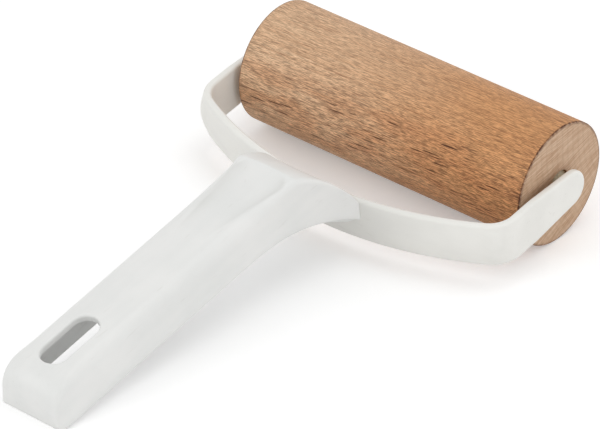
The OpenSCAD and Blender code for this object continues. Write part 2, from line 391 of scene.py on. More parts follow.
patch = ramp(noise(triple(along / 24.0, ring / 12.0, sweep / 5.0), 1.0, 1.0), 0.4, 0.6)
big_rays = rays(9.5, 16.0, 0.7, 0.5, 0.0) * ramp(facing, 0.74, 0.94) * (0.3 + patch * 0.7)
small_rays = rays(5.0, 9.0, 0.46, 0.42, 11.3) * ramp(flat_cut, 0.55, 0.9)
streaks = ramp(grain(26.0, 0.3, 3.0, 0.6), 0.53, 0.65)
fibre = grain(18.0, 0.6, 3.0, 0.65)
pores = grain(2.6, 0.22, 2.0, 0.65)
cloud = grain(60.0, 17.0)
season = ring * (2 * math.pi / RING_GAP) + noise(wood, 30.0) * 9.0
late = ramp(season.sum("SINE", season, 0.0), 0.1, 1.0)
print("ray layers, fibres, pores and rings made")

# %% Colour of the turned side


def shade(colour, amount):
    """A colour made darker below 1 and lighter above it."""
    return colour.make("ShaderNodeVectorMath", {"operation": "SCALE"}, {"Vector": colour, "Scale": amount})


tone = ramp(cloud * 0.4 + fibre * 0.6, 0.32, 0.68)
warm = ramp(along + cloud * 60.0, -10.0, 75.0)
pale = mix(tone, tint(201, 162, 127), tint(212, 177, 143))
deep = mix(tone, tint(186, 133, 88), tint(200, 147, 100))
torn = ramp(grain(5.0, 0.45), 0.53, 0.63) * ramp(from_end, 0.5, 6.0, 1.0, 0.0)
torn = torn * (0.4 + ramp(flat_cut, 0.75, 1.0) * 0.6)
body = mix(warm, pale, deep)
body = mix(late * 0.07, body, tint(160, 108, 70))
body = mix(ramp(facing, 0.6, 0.95) * patch * 0.4, body, tint(178, 120, 78))
body = shade(body, 1.0 + (ramp(pores, 0.3, 0.7) - 0.5) * (0.72 + flat_cut * 0.5))
body = mix(streaks * 0.45, body, tint(138, 86, 54))
body = mix(small_rays * 0.6, body, tint(112, 66, 40))
body = mix(big_rays * 0.95, body, tint(74, 40, 24))
body = mix(torn * 0.9, body, tint(88, 50, 31))
print("colour of the turned side made")

# %% Colour of the sawn ends, roughness and bump
end_lines = noise(triple(along / 6.0, ring / 8.0, sweep / 0.36), 1.0, 2.0, 0.6)
cut = mix(ramp(end_lines, 0.34, 0.66), tint(183, 147, 117), tint(210, 181, 154))
cut = mix(late * 0.12, cut, tint(150, 116, 92))
cut = shade(cut, 0.94 + ramp(noise(wood, 0.25, 2.0, 0.7), 0.3, 0.7) * 0.12)
colour = mix(ramp(from_end, 0.1, 0.22, 1.0, 0.0), body, cut)
ragged = ramp(grain(4.0, 1.3, 3.0), 0.36, 0.62, 0.4, 1.0)
# A dark line round the rim of each end: partly burnished wood, partly painted shade on the rounded edge.
edge_line = ramp(abs(from_end - 0.25), 0.05, 0.45, 1.0, 0.0) * ramp(radius, ROLLER_R - 1.0, ROLLER_R - 0.6)
colour = mix(edge_line * ragged, colour, tint(80, 46, 30))
grain_height = fibre * 0.4 + pores * 0.4 - big_rays * 0.5 - small_rays * 0.2 - streaks * 0.2
paint(spot, Base_Color=colour, Roughness=0.54 + fibre * 0.16 + pores * 0.1,
      Normal=bump(grain_height, 0.06 * MM, 0.5), Specular_IOR_Level=0.3)
print("beech has", len(beech.node_tree.nodes), "nodes")

# %% [markdown]
# ## White mouldings
#
# The handle and the yoke are satin polypropylene: a cool white handle and a slightly warmer yoke. A mould
# leaves a fine even texture and faint flow marks along the piece, and use leaves small rubbed marks. One
# recipe makes both, each with its own whites. The marks stay weak, because the plastic in the picture is
# clean. The handle's mesh also says where the creases of its thumb rest lie, and the recipe paints shade
# there: a darker white that stands in for the shade falling in the creases.

# %% Handle and yoke plastic


def moulded(name, light, dark, angles):
    """Satin plastic; its flow marks run along Y of the turned frame."""
    finish, spot = new_finish(name)
    place = in_mm(spot, tuple(axle), angles)
    flow = noise(stretched(place, (6.0, 34.0, 6.0)), 1.0, 3.0)
    mottle = noise(place, 16.0, 3.0)
    texture = noise(place, 0.35, 2.0)
    marks = ramp(noise(stretched(place, (1.3, 9.0, 1.3))), 0.66, 0.74)
    colour = mix(ramp(flow * 0.5 + mottle * 0.5, 0.3, 0.7), dark, light)
    colour = mix(marks * 0.12, colour, tint(196, 192, 184))
    # Painted shade: a point attribute of the handle darkens the white in the thumb rest's creases, standing
    # in for the shade that falls there.
    crease = spot.make("ShaderNodeAttribute", {"attribute_name": "crease"}, {}, "Fac")
    colour = mix(crease * 0.3, colour, tint(186, 186, 180))
    rough = 0.36 + mottle * 0.1 + texture * 0.05 + marks * 0.12
    paint(spot, Base_Color=colour, Roughness=rough, Normal=bump(texture + flow, 0.02 * MM, 0.4),
          Specular_IOR_Level=0.45)
    return finish


handle_white = moulded("handle_white", tint(236, 236, 234), tint(229, 230, 228), (LEAN, 0, 0))
yoke_white = moulded("yoke_white", tint(240, 239, 234), tint(234, 233, 228), (LEAN, 0, math.pi / 2))
print("plastics", handle_white.name, yoke_white.name)

# %% [markdown]
# ## Small pieces in steel and plastic
#
# The bushes, the rod and the two screws are mostly hidden, but they show through the gap beside the roller
# and from below. The bushes are plain ivory plastic. The rod is drawn steel, with fine lines along it, and
# the screws are zinc plated, which is a little bluish and cloudy.

# %% Bush plastic, drawn steel and zinc
bush_ivory = moulded("bush_ivory", tint(205, 194, 168), tint(190, 178, 150), (0, 0, 0))


def metal(name, bright, dull, stretch):
    """Bare metal with lines or clouds; stretch is the cloud's size in X, Y and Z."""
    finish, spot = new_finish(name)
    place = in_mm(spot, tuple(axle))
    lines = noise(stretched(place, stretch), 1.0, 3.0, 0.6)
    smudge = noise(place, 4.0, 2.0)
    colour = mix(ramp(lines * 0.6 + smudge * 0.4, 0.35, 0.65), dull, bright)
    paint(spot, Base_Color=colour, Metallic=1.0, Roughness=0.24 + lines * 0.14 + smudge * 0.12,
          Normal=bump(lines, 0.01 * MM, 0.4))
    return finish


rod_steel = metal("rod_steel", tint(206, 206, 204), tint(172, 172, 172), (9.0, 0.25, 0.25))
zinc = metal("zinc", tint(204, 208, 214), tint(170, 176, 184), (1.1, 1.1, 1.1))
print("metals", rod_steel.name, zinc.name)

# %% [markdown]
# ## Trees that make shapes
#
# Geometry Nodes suit a piece that follows one rule. The same wrapper builds those trees too. A tree has
# named sizes, and each size is set on the modifier by its socket's identifier before the piece is first
# worked out. The result is copied to a plain mesh, so that the finished piece carries no modifier.

# %% Helpers for trees
SAME_PLACE = 0.001 * MM
SHARP = 35.0


def new_tree(name, sizes):
    """A new tree, as the wires of its outline and its sizes."""
    tree = bpy.data.node_groups.new(name, "GeometryNodeTree")
    tree.interface.new_socket("Outline", in_out="INPUT", socket_type="NodeSocketGeometry")
    for label, kind in sizes.items():
        tree.interface.new_socket(label, in_out="INPUT", socket_type="NodeSocket" + kind)
    tree.interface.new_socket("Result", in_out="OUTPUT", socket_type="NodeSocketGeometry")
    entry = tree.nodes.new("NodeGroupInput")
    return {socket.name: Wire(socket) for socket in entry.outputs if socket.name}


def close_tree(shape, finish):
    solid = shape.make("GeometryNodeRealizeInstances", {}, {"Geometry": shape})
    solid = solid.make("GeometryNodeSetMaterial", {}, {"Geometry": solid, "Material": finish})
    solid.make("NodeGroupOutput", {}, {"Result": solid})
    return shape.tree


def moved(shape, place, angles=(0, 0, 0)):
    """A shape turned and then moved."""
    return shape.make("GeometryNodeTransform", {},
                      {"Geometry": shape, "Translation": place, "Rotation": angles})


def settle(piece, modifier):
    """Keeps what a modifier makes of a piece as a plain mesh."""
    ready = piece.evaluated_get(bpy.context.evaluated_depsgraph_get())
    mesh = bpy.data.meshes.new_from_object(ready)
    piece.modifiers.remove(modifier)
    piece.data = mesh


def tidy(piece):
    """Merges doubles, turns faces outwards, smooths, and reports."""
    work = bmesh.new()
    work.from_mesh(piece.data)
    bmesh.ops.remove_doubles(work, verts=work.verts, dist=0.002 * MM)
    bmesh.ops.dissolve_degenerate(work, edges=work.edges, dist=0.0005 * MM)
    bmesh.ops.recalc_face_normals(work, faces=work.faces)
    loose = sum(not edge.is_manifold for edge in work.edges)
    work.to_mesh(piece.data)
    work.free()
    piece.data.shade_smooth()
    piece.data.set_sharp_from_angle(angle=math.radians(SHARP))
    print(piece.name, len(piece.data.polygons), "faces,", loose, "open edges")


def grow(name, tree, start, sizes):
    """The tree's shape from a starting mesh, as a plain and tidy piece."""
    piece = new_object(name, start)
    modifier = piece.modifiers.new("shape", "NODES")
    modifier.node_group = tree
    for item in tree.interface.items_tree:
        if item.in_out == "INPUT" and item.name in sizes:
            modifier[item.identifier] = sizes[item.name]
    settle(piece, modifier)
    tidy(piece)
    return piece


print("tree helpers ready")

# %% [markdown]
# ## The roller
#
# The roller is turned on a lathe, so its shape is one outline swung round the rod's axis. The outline has
# a rounding stored on each corner. The tree rounds the corners, sweeps the outline round a small circle,
# and turns the result to lie along X. A point close to each rounding keeps the flat faces' shading flat.

# %% The lathe tree
EASE_IN = 0.15
ALONG_X = (0, math.pi / 2, 0)
ports = new_tree("lathe", {"Segments": "Int", "Corner steps": "Int", "Middle": "Vector",
                           "Finish": "Material"})
line = ports["Outline"].make("GeometryNodeMeshToCurve", {}, {"Mesh": ports["Outline"]})
corner = line.make("GeometryNodeInputNamedAttribute", {"data_type": "FLOAT"},
                   {"Name": "rounding"}, "Attribute")
line = line.make("GeometryNodeFilletCurve", {"mode": "POLY"},
                 {"Curve": line, "Count": ports["Corner steps"], "Radius": corner, "Limit Radius": True})
line = moved(line, (-MM, 0, 0))
circle = line.make("GeometryNodeCurvePrimitiveCircle", {"mode": "RADIUS"},
                   {"Resolution": ports["Segments"], "Radius": MM})
swung = line.make("GeometryNodeCurveToMesh", {}, {"Curve": circle, "Profile Curve": line})
swung = moved(swung, ports["Middle"], ALONG_X)
swung = swung.make("GeometryNodeMergeByDistance", {}, {"Geometry": swung, "Distance": SAME_PLACE})
lathe_tree = close_tree(swung, ports["Finish"])


def outline(name, corners, closed=True):
    """An outline from corners of (radius, place along X, rounding) in millimetres."""
    points = []
    count = len(corners)
    for k, (radius, place, rounding) in enumerate(corners):
        here = np.array([radius, place], float)
        if rounding:
            before = np.array(corners[k - 1][:2], float) - here
            after = np.array(corners[(k + 1) % count][:2], float) - here
            reach = rounding + EASE_IN
            points.append((*(here + before / np.linalg.norm(before) * reach), 0.0))
            points.append((*here, rounding))
            points.append((*(here + after / np.linalg.norm(after) * reach), 0.0))
        else:
            points.append((radius, place, 0.0))
    total = len(points)
    edges = [(k, (k + 1) % total) for k in range(total if closed else total - 1)]
    mesh = bpy.data.meshes.new(name)
    mesh.from_pydata([(r * MM, -x * MM, 0) for r, x, _ in points], edges, [])
    roundings = mesh.attributes.new("rounding", "FLOAT", "POINT")
    roundings.data.foreach_set("value", [p[2] * MM for p in points])
    return mesh


def turn_piece(name, corners, finish, segments=72, steps=5, closed=True):
    """A piece that the lathe tree turns round the axle."""
    return grow(name, lathe_tree, outline(name, corners, closed),
                {"Segments": segments, "Corner steps": steps, "Middle": axle, "Finish": finish})


print("lathe tree has", len(lathe_tree.nodes), "nodes")

# %% Turn the roller
BORE_R = 3.5
SEAT_R = 4.51
SEAT_DEPTH = 14
seat_end = ROLLER_HALF - SEAT_DEPTH
beech_roller = turn_piece("beech_roller", [
    (ROLLER_R, -ROLLER_HALF, 0.5), (ROLLER_R, ROLLER_HALF, 0.5), (SEAT_R, ROLLER_HALF, 0.25),
    (SEAT_R, seat_end, 0), (BORE_R, seat_end, 0), (BORE_R, -seat_end, 0), (SEAT_R, -seat_end, 0),
    (SEAT_R, -ROLLER_HALF, 0.25)], beech, 160, 8)
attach(beech_roller, "roller")
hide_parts("roller")

# %% [markdown]
# The rod and the two bushes are turned too, so the same tree makes them from other outlines. The rod stays
# still in the yoke. The bushes are pressed into the wood, so they ride with the roller, and each stands a
# little proud of it to keep the wood off the arms.

# %% Rod and bushes
ROD_R = 2.5
ROD_HALF = 58.7
SLEEVE_BORE = 2.56
SLEEVE_R = 4.5
NOSE_TIP_R = 3.1
SLEEVE_IN = 41.0
SLEEVE_OUT = 55.6
axle_rod = turn_piece("axle_rod", [
    (0, -ROD_HALF, 0), (ROD_R, -ROD_HALF, 0.4), (ROD_R, ROD_HALF, 0.4), (0, ROD_HALF, 0)],
    rod_steel, closed=False)
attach(axle_rod, "frame")
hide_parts("axle")
for side_name, way in (("left", -1), ("right", 1)):
    sleeve = turn_piece(side_name + "_sleeve", [
        (SLEEVE_BORE, way * SLEEVE_IN, 0.2), (SLEEVE_R, way * SLEEVE_IN, 0.3), (SLEEVE_R, way * 53.8, 0.2),
        (NOSE_TIP_R, way * 54.6, 0.2), (NOSE_TIP_R, way * SLEEVE_OUT, 0.2),
        (SLEEVE_BORE, way * SLEEVE_OUT, 0.2)], bush_ivory)
    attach(sleeve, "roller")
    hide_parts(side_name + "_bush")

# %% [markdown]
# ## The yoke
#
# The yoke is one flat band bent to a U: two straight arms with round tips, two corners, and a gently bowed
# back. It could be a swept curve, but its tips are rounded in the other direction, so it is lofted: each
# station along the band has one closed loop with softly rounded edges, and the loops close at the tips.
# A station holds the middle of the band, the way its outer face looks, half its height, and the way its
# upper edge looks. Round the two corners the outer face swells out a little.

# %% Stations along the band
BAND_T = 2.6
BAND_H = 15.0
TIP_R = 6.0
TAPER = 18.0
BOW_R = 125.0
CORNER_R = 10.0
REACH = 47.7
ARM_MID = 58.8
HALF_T = BAND_T / 2
HALF_H = BAND_H / 2
bow_y = BOW_R - REACH
corner_in = ARM_MID + HALF_T - CORNER_R
corner_mid = (corner_in, bow_y - math.sqrt((BOW_R - CORNER_R) ** 2 - corner_in ** 2))
# The tip's arc ends where the taper touches it, and the corner's arc where the bow does.
touch = math.atan2(HALF_H, -TAPER) - math.acos(TIP_R / math.hypot(TAPER, HALF_H))
swing = math.atan2(corner_mid[1] - bow_y, corner_in)
stations = []
for a in np.linspace(0, touch, 18):
    stations.append((ARM_MID, TIP_R * math.cos(a), 1, 0, TIP_R * math.sin(a), math.cos(a), math.sin(a)))
tip_end = stations[-1]
for t in np.linspace(0, 1, 7)[1:]:
    y = tip_end[1] + (-TAPER - tip_end[1]) * t
    z = tip_end[4] + (HALF_H - tip_end[4]) * t
    lean = tip_end[5] * (1 - t)
    stations.append((ARM_MID, y, 1, 0, z, lean, math.sqrt(1 - lean * lean)))
for y in np.linspace(-TAPER, corner_mid[1], 5)[1:-1]:
    stations.append((ARM_MID, y, 1, 0, HALF_H, 0, 1))
corner_arc = (corner_mid, CORNER_R - HALF_T, np.linspace(0, swing, 15))
back_arc = ((0, bow_y), BOW_R - HALF_T, np.linspace(swing, -math.pi / 2, 42)[1:])
for middle, arc_r, angles in (corner_arc, back_arc):
    for a in angles:
        c = math.cos(a)
        s = math.sin(a)
        stations.append((middle[0] + arc_r * c, middle[1] + arc_r * s, c, s, HALF_H, 0, 1))
stations += [(-x, y, -c, s, z, ny, nz) for x, y, c, s, z, ny, nz in stations[-2::-1]]
print(len(stations), "stations, corner's middle at", [round(v, 2) for v in corner_mid])

# %% Loops of the band
EDGE_R = 0.9
SWELL = 1.5
SWELL_FROM = 0.05
SWELL_SPAN = 1.2


def clamp(t):
    return min(1.0, max(0.0, t))


def loft(chain):
    """Quads between neighbouring closed loops of point numbers."""
    quads = []
    for first, second in zip(chain, chain[1:]):
        for k in range(len(first)):
            n = (k + 1) % len(first)
            quads.append((first[k], first[n], second[n], second[k]))
    return quads


def swell(c, s):
    """How far the outer face swells out where the band turns a corner."""
    turn = (math.atan2(s, abs(c)) / swing - SWELL_FROM) / SWELL_SPAN
    return SWELL * math.sin(math.pi * clamp(turn)) ** 2


def band_loop(x, y, c, s, z, ny, nz):
    """One closed loop round the band: upper edge, inner face, lower edge, outer face."""
    edge = []
    for f in np.radians(np.linspace(0, 90, 6)):
        edge.append((HALF_T - EDGE_R + EDGE_R * math.cos(f), EDGE_R - EDGE_R * math.sin(f)))
    both_edges = edge + [(-n, d) for n, d in edge[::-1]]
    upper = [(x + c * n, y + s * n - ny * d, z - nz * d) for n, d in both_edges]
    lower = [(px, py, -pz) for px, py, pz in upper[::-1]]
    fill = np.linspace(1, -1, 9)[1:-1]
    inner = [(upper[-1][0], upper[-1][1], upper[-1][2] * t) for t in fill]
    bulge = [(swell(c, s) * (1 - t * t), -upper[0][2] * t) for t in fill]
    outer = [(upper[0][0] + c * n, upper[0][1] + s * n, rise) for n, rise in bulge]
    return upper + inner + lower + outer


loops = np.array([band_loop(*station) for station in stations])
numbers = np.arange(loops.size // 3).reshape(len(loops), -1).tolist()
band_points = at_rest(turned(loops.reshape(-1, 3), -YOKE_PITCH))
yoke_band = plain_piece("yoke_band", band_points, loft(numbers), yoke_white)
print("band lofted from", len(loops), "loops")

# %% [markdown]
# Two screws hold the yoke to the handle, side by side in the middle of the band. One tree makes such pairs:
# it turns a piece on the lathe, sets it on two points, and tips the pair back into the leaning plane. The
# first pair is a pair of cutters, which drill and countersink the band and are then thrown away.

# %% Pairs at the screw places
PAIR_INPUTS = {"Segments": "Int", "Gap": "Float", "Seat": "Vector", "Finish": "Material"}
TILT = LEAN - YOKE_PITCH
SCREW_GAP = 12.0
SCREW_UP = 4.2
screw_seat = Vector(at_rest(turned([(0, BAND_T - REACH, SCREW_UP)], -YOKE_PITCH))[0])


def turned_one(ports):
    """A tree's outline, turned by the lathe tree."""
    return ports["Outline"].make("GeometryNodeGroup", {"node_tree": lathe_tree},
                                 {"Outline": ports["Outline"], "Segments": ports["Segments"],
                                  "Corner steps": 4, "Finish": ports["Finish"]})


def in_pairs(shape, ports):
    """The shape at both screw places, tipped back with the yoke."""
    spots = shape.make("GeometryNodeMeshLine", {"mode": "OFFSET"},
                       {"Count": 2, "Start Location": triple(0.0, ports["Gap"] * -0.5, 0.0),
                        "Offset": triple(0.0, ports["Gap"], 0.0)})
    pair = shape.make("GeometryNodeInstanceOnPoints", {}, {"Points": spots, "Instance": shape})
    return moved(pair, ports["Seat"], (0, TILT, -math.pi / 2))


ports = new_tree("turned_pair", PAIR_INPUTS)
pair_tree = close_tree(in_pairs(turned_one(ports), ports), ports["Finish"])
pair_sizes = {"Segments": 48, "Gap": SCREW_GAP * MM, "Seat": screw_seat}
print("screws at", [round(v / MM, 2) for v in screw_seat])

# %% Drill the band
HOLE_R = 1.6
SINK_R = 2.9
drill = outline("drill", [(0, -0.6, 0), (SINK_R, -0.6, 0), (SINK_R, 0.3, 0), (HOLE_R, 1.6, 0),
                          (HOLE_R, 4.0, 0), (0, 4.0, 0)], False)
cutter = grow("cutter", pair_tree, drill, {**pair_sizes, "Finish": yoke_white})
tidy(yoke_band)
drilled = yoke_band.modifiers.new("drilled", "BOOLEAN")
drilled.operation = "DIFFERENCE"
drilled.solver = "EXACT"
drilled.object = cutter
settle(yoke_band, drilled)
bpy.data.objects.remove(cutter)
tidy(yoke_band)
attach(yoke_band, "frame")
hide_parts("yoke")

# %% [markdown]
# Each arm has a low round pad on its inner face. The bush runs against the pad, and the rod's end goes
# through it into a blind socket in the arm. Nothing of the socket shows, so only the pads are made: turned
# rings whose feet sit a little inside the arm's face.

# %% Pads on the arms
PAD_BORE = 2.52
PAD_FOOT = 57.7
PAD_TOP = 56.5
for name, way in (("left_pad", -1), ("right_pad", 1)):
    pad = turn_piece(name, [
        (PAD_BORE, way * PAD_FOOT, 0), (4.2, way * PAD_FOOT, 0), (3.5, way * PAD_TOP, 0.3),
        (PAD_BORE, way * PAD_TOP, 0.2)], yoke_white, 64)
    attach(pad, "frame")
    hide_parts("yoke")

# %% [markdown]
# ## The handle
#
# The handle is a moulded shell, open below, whose cross-section changes all the way: flared shoulders
# against the yoke, a rounded nose, a rim, a scooped thumb rest, a plain grip and a rounded end. Subdivision
# would soften those changes, so the shell is lofted from formulas: a side profile gives the top, and other
# formulas give widths, lower edge, corner radius and dish at each distance behind the axle.

# %% Formulas of the handle, in millimetres behind the axle
TOP = 31.0
LOW = 16.1
REAR = 173.5
RIM = 66.0
WALL = 2.4
FRONT = REACH
# Half the width of the grip, below and on top, and what the shoulders add to it in front.
GRIP_LOW = 12.1
GRIP_TOP = 10.7
FLARE_LOW = 4.1
FLARE_TOP = 5.5
SKIRT = 13.6
# The rounded end: its length and height, and how far and how long its sides draw in.
TAIL_A = 8.5
TAIL_B = 7.5
TAIL_IN = 1.2
TAIL_SIDE = 4.5


def step(value, start, length):
    """A smooth step from 0 to 1 over a length from its start."""
    t = clamp((value - start) / length)
    return t * t * (3 - 2 * t)


def fading(d, length, power):
    """1 at the handle's front, fading to 0 over a length."""
    return clamp((FRONT + length - d) / length) ** power


def half_low(d):
    return GRIP_LOW + FLARE_LOW * fading(d, 37.3, 2.6)


def half_top(d):
    return GRIP_TOP + FLARE_TOP * fading(d, 27.3, 1.9)


def low_z(d):
    return LOW - SKIRT * fading(d, 50.3, 2.7)


def edge_r(d):
    return 1.2 + step(d, FRONT, 12) + 2.3 * step(d, RIM, 24) - 2.0 * step(d, REAR - 16, 12)


def crown(d):
    """How much the top falls from its middle to its sides."""
    return 1.2 * step(d, FRONT + 6, 16) + 1.0 * step(d, REAR - 15, 14)


def fold(d):
    """Half the distance between the creases beside the thumb rest."""
    narrow = 6.3 * (1 - clamp((d - RIM - 6) / 55)) ** 1.5
    return 2.6 + narrow - 2.0 * (1 - step(d, RIM - 0.5, 5))


def dish(d):
    """Depth of the thumb rest's floor."""
    deep = 1.7 * step(d, RIM - 0.5, 8) * (1 - 0.95 * step(d, RIM + 5, 30))
    return deep * (1 - clamp((d - RIM - 38) / 46))


def bowl(d, x):
    """1 on the floor of the thumb rest, 0 outside its creases."""
    rise = (abs(x) / fold(d) / 1.03) ** 4
    return 1 - rise / (1 + rise ** 3) ** (1 / 3)


def tail_in(d):
    """How far the sides draw in at the rounded end."""
    return TAIL_IN * (1 - math.sqrt(1 - clamp((d - REAR + TAIL_SIDE) / TAIL_SIDE) ** 2))


print("grip width", 2 * half_low(120), "shoulder width", 2 * half_low(FRONT))

# %% Side profile of the top as rows of distance, height and normal
NOSE_R = 46.0
RIM_R = 3.0
NOSE_UP = 1.2
FIRST_ROW = 0.7  # behind the front
SHORT_OF_RIM = 0.005  # in radians
seam = REACH * math.sin(YOKE_PITCH) + HALF_H * math.cos(YOKE_PITCH) + NOSE_UP
nose_tilt = math.atan((TOP - seam) / (RIM - FRONT))
nose_half = math.asin(math.hypot(RIM - FRONT, TOP - seam) / 2 / NOSE_R)
nose_d = (RIM + FRONT) / 2 + NOSE_R * math.cos(nose_half) * math.sin(nose_tilt)
nose_z = (TOP + seam) / 2 - NOSE_R * math.cos(nose_half) * math.cos(nose_tilt)
rim_turn = nose_tilt - nose_half
rim_reach = RIM_R * math.tan(rim_turn / 2)


def arc_row(d, z, r, a):
    """The row on an arc round a middle, at an angle from straight up."""
    return (d - r * math.sin(a), z + r * math.cos(a), -math.sin(a), math.cos(a))


rows = []
first = math.asin((nose_d - FRONT - FIRST_ROW) / NOSE_R)
for a in np.linspace(first, rim_turn + rim_reach / NOSE_R + SHORT_OF_RIM, 20):
    rows.append(arc_row(nose_d, nose_z, NOSE_R, a))
for a in np.linspace(rim_turn, 0, 9):
    rows.append(arc_row(RIM + rim_reach, TOP - RIM_R, RIM_R, a))
for d in np.linspace(RIM + rim_reach, REAR - TAIL_A, 106)[1:]:
    rows.append((d, TOP, 0.0, 1.0))
for a in np.radians(np.linspace(0, 90, 19)[1:]):
    n = math.hypot(math.sin(a) / TAIL_A, math.cos(a) / TAIL_B)
    rows.append((REAR - TAIL_A + TAIL_A * math.sin(a), TOP - TAIL_B + TAIL_B * math.cos(a),
                 math.sin(a) / TAIL_A / n, math.cos(a) / TAIL_B / n))
print(len(rows), "rows, nose turns", round(math.degrees(first - rim_turn), 1), "degrees")

# %% One cross-section
TOP_STEPS = 26
LIP = 0.5
LEAST_R = 0.8
SEAM_GAP = 0.02


def top_width(d, depth):
    """Half the width of the top, at a depth inside the outer skin."""
    return half_top(d) - tail_in(d) - depth


def top_at(d, x, zt, depth):
    """Height of the top surface at x, for a row whose middle is at zt."""
    return zt - crown(d) * (x / top_width(d, depth)) ** 2 - dish(d) * bowl(d, x)


def upper_corner(d, zt, depth):
    """Middle of the rounded upper corner, its radius, its start angle and the wall's foot."""
    wt = top_width(d, depth)
    wb = half_low(d) - tail_in(d) - depth
    r = max(edge_r(d) - depth, LEAST_R)
    a0 = math.atan((wb - wt) / (zt - low_z(d)))
    zc = zt - crown(d) * ((wt - r) / wt) ** 2 - r
    xc = wt + (zt - zc) * math.tan(a0) - r / math.cos(a0)
    return xc, zc, r, a0, wb


def half_loop(d, zt, depth, inside):
    """Half a section from the lower lip up over the corner to the middle."""
    xc, zc, r, a0, wb = upper_corner(d, zt, depth)
    zb = low_z(d)
    way = 1 if inside else -1
    points = []
    for f in np.radians((0, 30, 60, 90)):
        points.append((wb + way * LIP * (1 - math.sin(f)), zb + LIP * (1 - math.cos(f))))
    foot = points[-1]
    neck = (xc + r * math.cos(a0), zc + r * math.sin(a0))
    for t in np.linspace(0, 1, 7)[1:-1]:
        points.append((foot[0] + (neck[0] - foot[0]) * t, foot[1] + (neck[1] - foot[1]) * t))
    a1 = math.pi / 2 - math.atan(2 * crown(d) * xc / top_width(d, depth) ** 2)
    for a in np.linspace(a0, a1, 9):
        x = xc + r * math.cos(a)
        points.append((x, zc + r * math.sin(a) - dish(d) * bowl(d, x)))
    for k in range(TOP_STEPS - 1, -1, -1):
        x = xc * k / TOP_STEPS
        points.append((x, top_at(d, x, zt, depth)))
    return points


def full_loop(half):
    return half + [(-x, z) for x, z in half[-2::-1]]


def row_loop(row, depth):
    """A row's section, bowed like the yoke at the front and straight from the rim on."""
    d, z, nd, nz = row
    bowed = 1 - step(d, FRONT, RIM - FRONT)
    section = full_loop(half_loop(d, z - depth * nz, depth, depth > 0))
    return [(x, depth * nd - d + x * x / 2 / BOW_R * bowed, h) for x, h in section]


def front_loop(row, back, inset):
    """A section that lies on the yoke's back face, drawn in a little."""
    d, z = row[:2]
    points = []
    for x, h in full_loop(half_loop(d, z - inset, inset, False)):
        y = bow_y - math.sqrt((BOW_R + SEAM_GAP) ** 2 - x * x)
        z_yoke = (h + y * math.sin(YOKE_PITCH)) / math.cos(YOKE_PITCH)
        points.append((x, y * math.cos(YOKE_PITCH) + z_yoke * math.sin(YOKE_PITCH) - back, h))
    return points


SIZE = len(row_loop(rows[0], 0.0))
print("a section has", SIZE, "points")

# %% Skins of the shell
FRONT_EDGE = 0.35
FRONT_WALL = 1.2
AHEAD = 0.25  # of the front, where the first section is taken
outer = []
nose_start = arc_row(nose_d, nose_z, NOSE_R, math.asin((nose_d - FRONT + AHEAD) / NOSE_R))
for f in np.radians((0, 22.5, 45, 67.5, 90)):
    outer.append(front_loop(nose_start, FRONT_EDGE * (1 - math.cos(f)), FRONT_EDGE * (1 - math.sin(f))))
lead = len(outer)
outer += [row_loop(row, 0.0) for row in rows]
begin = next(k for k, row in enumerate(rows) if row[0] > FRONT + FRONT_WALL)
inner = [row_loop(row, WALL) for row in rows[begin:]]
# The inner skin starts under the outer loop with this number.
hollow = lead + begin
points = [p for loop in outer + inner for p in loop]
base = len(outer) * SIZE
last = len(outer) - 1
end = SIZE - 1


def out(i, j):
    """A point's number in the outer skin, by loop and place."""
    return i * SIZE + j


def inn(i, j):
    """The number of the point under it in the inner skin."""
    return base + (i - hollow) * SIZE + j


print(len(outer), "outer loops,", len(inner), "inner loops")

# %% The slot's place in the grid
SLOT_R = 4.5
SLOT_END = 8.8
SLOT_SPAN = 12.5
SLOT_COLUMNS = 24
ROOM_NEAR = 1.4
ROOM_FAR = 1.3
slot_far = REAR - SLOT_END - SLOT_R
slot_near = slot_far - SLOT_SPAN
mid = SIZE // 2
left = mid - SLOT_COLUMNS
rightmost = mid + SLOT_COLUMNS
row_a = max(k for k, row in enumerate(rows) if row[0] < slot_near - SLOT_R - ROOM_NEAR) + lead
row_b = min(k for k, row in enumerate(rows) if row[0] > slot_far + SLOT_R + ROOM_FAR) + lead
print("slot cut out of rows", row_a, "to", row_b)

# %% Faces of the skins, the lower lips and the closed ends
faces = []
for i in range(last):
    for j in range(end):
        if not (row_a <= i < row_b and left <= j < rightmost):
            faces.append((out(i, j), out(i, j + 1), out(i + 1, j + 1), out(i + 1, j)))
            if i >= hollow:
                faces.append((inn(i, j), inn(i + 1, j), inn(i + 1, j + 1), inn(i, j + 1)))
for i in range(last):
    if i < hollow:
        faces.append((out(i, 0), out(i + 1, 0), out(i + 1, end), out(i, end)))
    else:
        faces.append((out(i, 0), out(i + 1, 0), inn(i + 1, 0), inn(i, 0)))
        faces.append((out(i, end), inn(i, end), inn(i + 1, end), out(i + 1, end)))
faces.append((out(hollow, 0), inn(hollow, 0), inn(hollow, end), out(hollow, end)))
faces.append((out(last, 0), out(last, end), inn(last, end), inn(last, 0)))
for j in range(mid):
    for i, grid in ((0, out), (last, out), (hollow, inn), (last, inn)):
        faces.append((grid(i, j), grid(i, j + 1), grid(i, end - j - 1), grid(i, end - j)))
print(len(faces), "faces before the slot")

# %% [markdown]
# The hanging slot goes through the shell. A Boolean would leave long thin faces on a curved top, so a block
# of the grid is left out and filled with rings: from the block's edge to the slot's outline on the
# outside, over a rounded lip, down the wall, over a smaller lip, and back out on the inside.

# %% Rings round the slot
OUTER_LIP = 0.7
INNER_LIP = 0.4
border = [(row_a, j) for j in range(left, rightmost)] + [(i, rightmost) for i in range(row_a, row_b)]
border += [(row_b, j) for j in range(rightmost, left, -1)] + [(i, left) for i in range(row_b, row_a, -1)]


def slot_height(d, x, depth):
    """Height of the top surface near the slot."""
    t = (d - REAR + TAIL_A) / (TAIL_A - depth)
    zt = TOP - depth if t <= 0 else TOP - TAIL_B + (TAIL_B - depth) * math.sqrt(max(0.0, 1 - t * t))
    return top_at(min(d, REAR), x, zt, depth)


